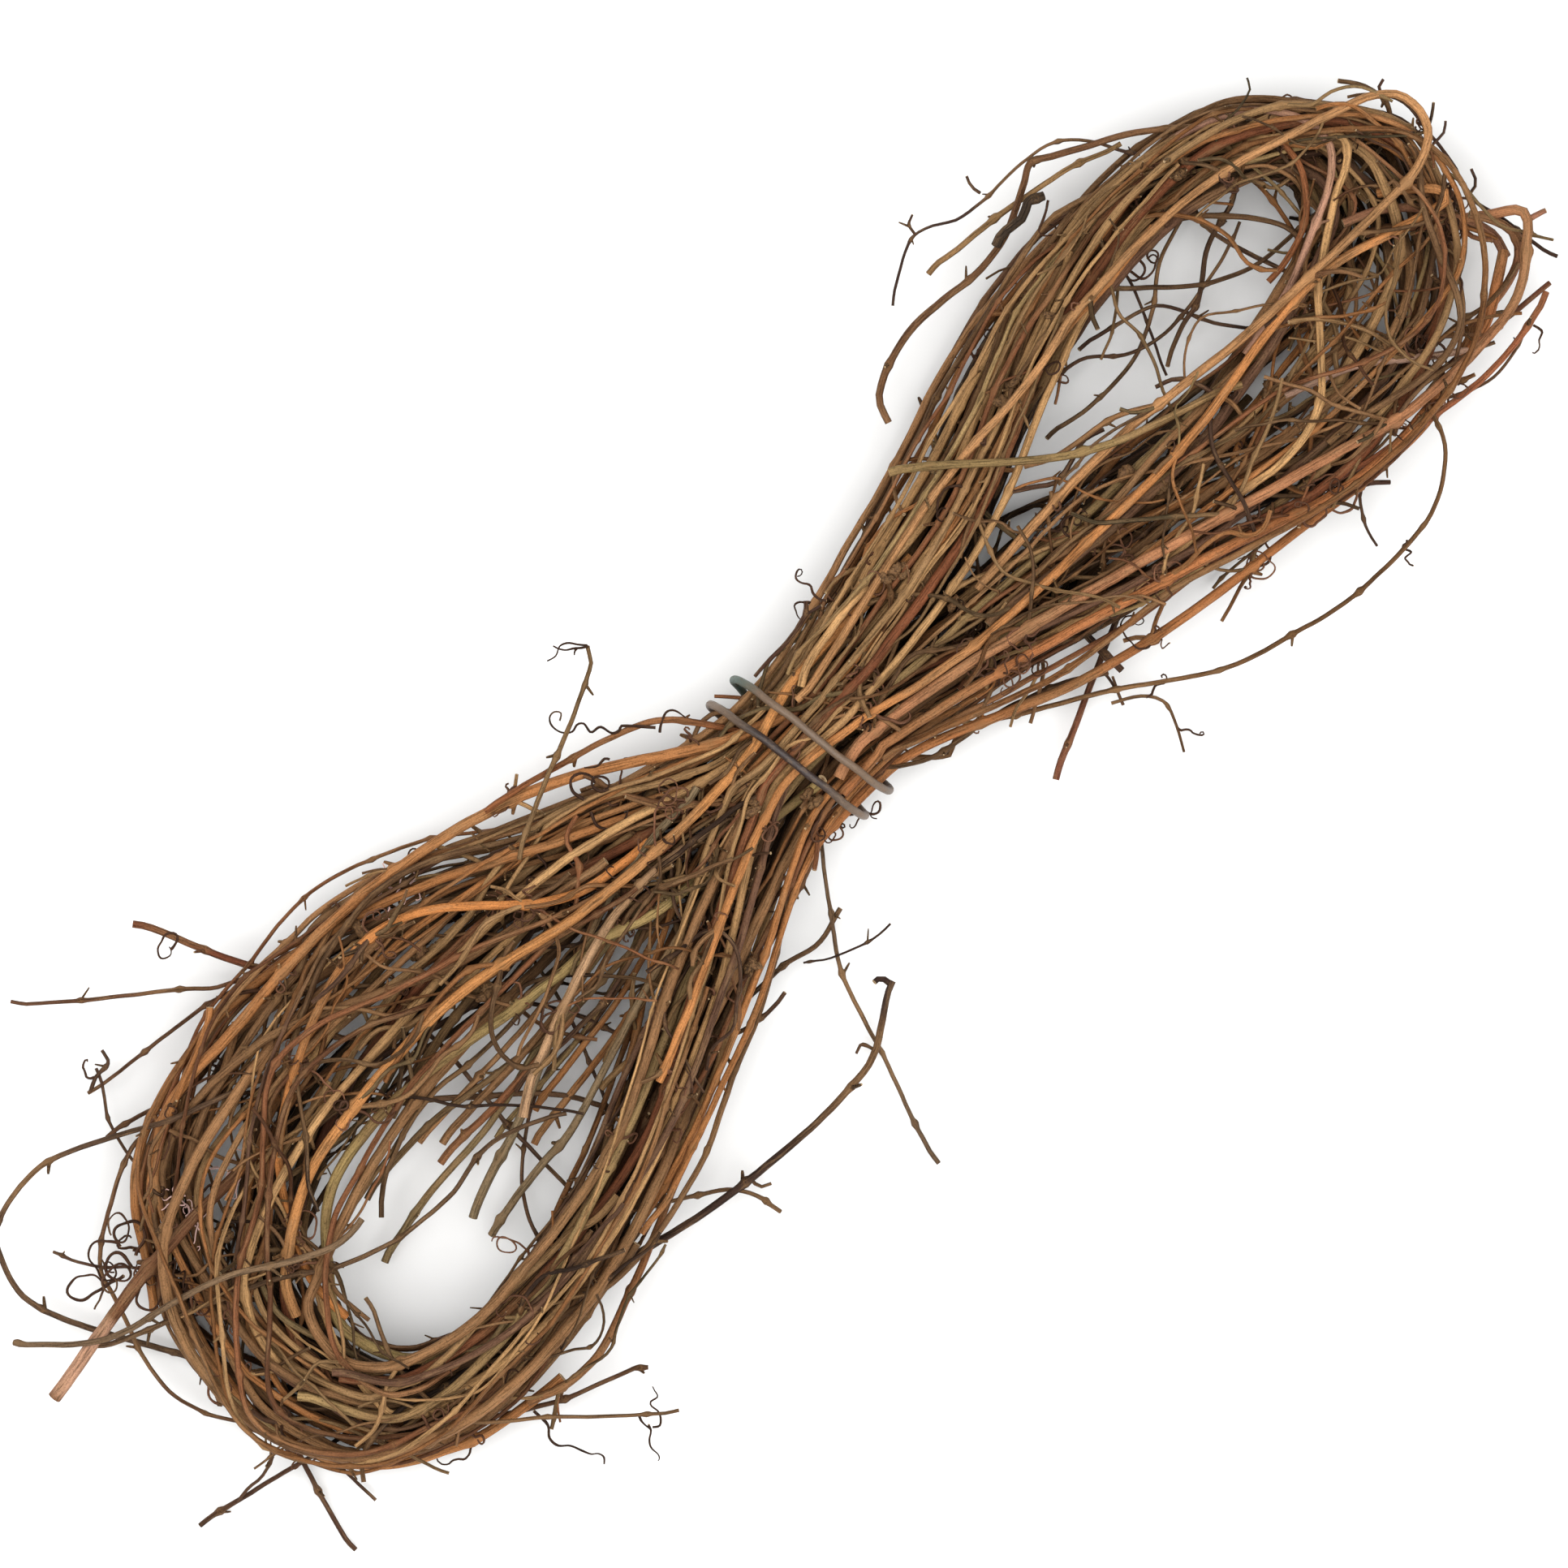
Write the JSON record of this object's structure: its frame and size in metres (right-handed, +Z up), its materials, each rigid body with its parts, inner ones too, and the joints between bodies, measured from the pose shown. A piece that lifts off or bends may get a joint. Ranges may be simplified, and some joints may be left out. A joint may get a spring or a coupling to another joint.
{
  "type": "grapevine twig bundle",
  "caption": "Hank of dried grapevine canes looped at each end and cinched at the waist with dark wire, with side shoots and cut ends sticking out; stock for wreaths and craft.",
  "frame": {"origin": "middle of the underside of the bounding box, on the surface that the bundle lies on", "axes": "+X along the bundle from the loop with the dense band on its far side towards the other loop, +Y across it, +Z up from the surface"},
  "size_m": [0.5778, 0.243, 0.0463],
  "materials": {
    "cane_bark": "dry fibrous bark, matt",
    "shoot_bark": "thin dark bark, matt",
    "tie_coating": "dull grey-brown coating over wire"
  },
  "bodies": {
    "root": {"cane_01": "cane_bark", "cane_02": "cane_bark", "cane_03": "cane_bark", "cane_04": "cane_bark", "cane_05": "cane_bark", "cane_06": "cane_bark", "cane_07": "cane_bark", "cane_08": "cane_bark", "cane_09": "cane_bark", "cane_10": "cane_bark", "cane_11": "cane_bark", "cane_12": "cane_bark", "cane_13": "cane_bark", "cane_14": "cane_bark", "cane_15": "cane_bark", "cane_16": "cane_bark", "cane_17": "cane_bark", "cane_18": "cane_bark", "cane_19": "cane_bark", "cane_20": "cane_bark", "cane_21": "cane_bark", "cane_22": "cane_bark", "cane_forked_orange": "cane_bark", "cane_green_pair": "cane_bark", "cane_high_arch": "cane_bark", "cane_hooked_orange": "cane_bark", "cane_left_rim": "cane_bark", "cane_long_orange": "cane_bark", "cane_pale_end": "cane_bark", "cane_right_low": "cane_bark", "cane_right_middle": "cane_bark", "cane_right_rim": "cane_bark", "shoot_bottom_fork": "shoot_bark", "shoot_bottom_left": "shoot_bark", "shoot_bottom_right": "shoot_bark", "shoot_dark_arc": "shoot_bark", "shoot_grey_over": "shoot_bark", "shoot_left_fork": "shoot_bark", "shoot_left_high": "shoot_bark", "shoot_left_loop": "shoot_bark", "shoot_left_thin": "shoot_bark", "shoot_lower_right": "shoot_bark", "shoot_pale_out": "shoot_bark", "shoot_peeled_stub": "shoot_bark", "shoot_right_arc": "shoot_bark", "shoot_right_tip": "shoot_bark", "shoot_straight_out": "shoot_bark", "shoot_top_right": "shoot_bark", "shoot_upper_drop": "shoot_bark", "shoot_upper_thin": "shoot_bark", "shoot_waist_left": "shoot_bark", "shoot_waist_long": "shoot_bark", "tie_wire": "tie_coating"}
  },
  "joints": []
}
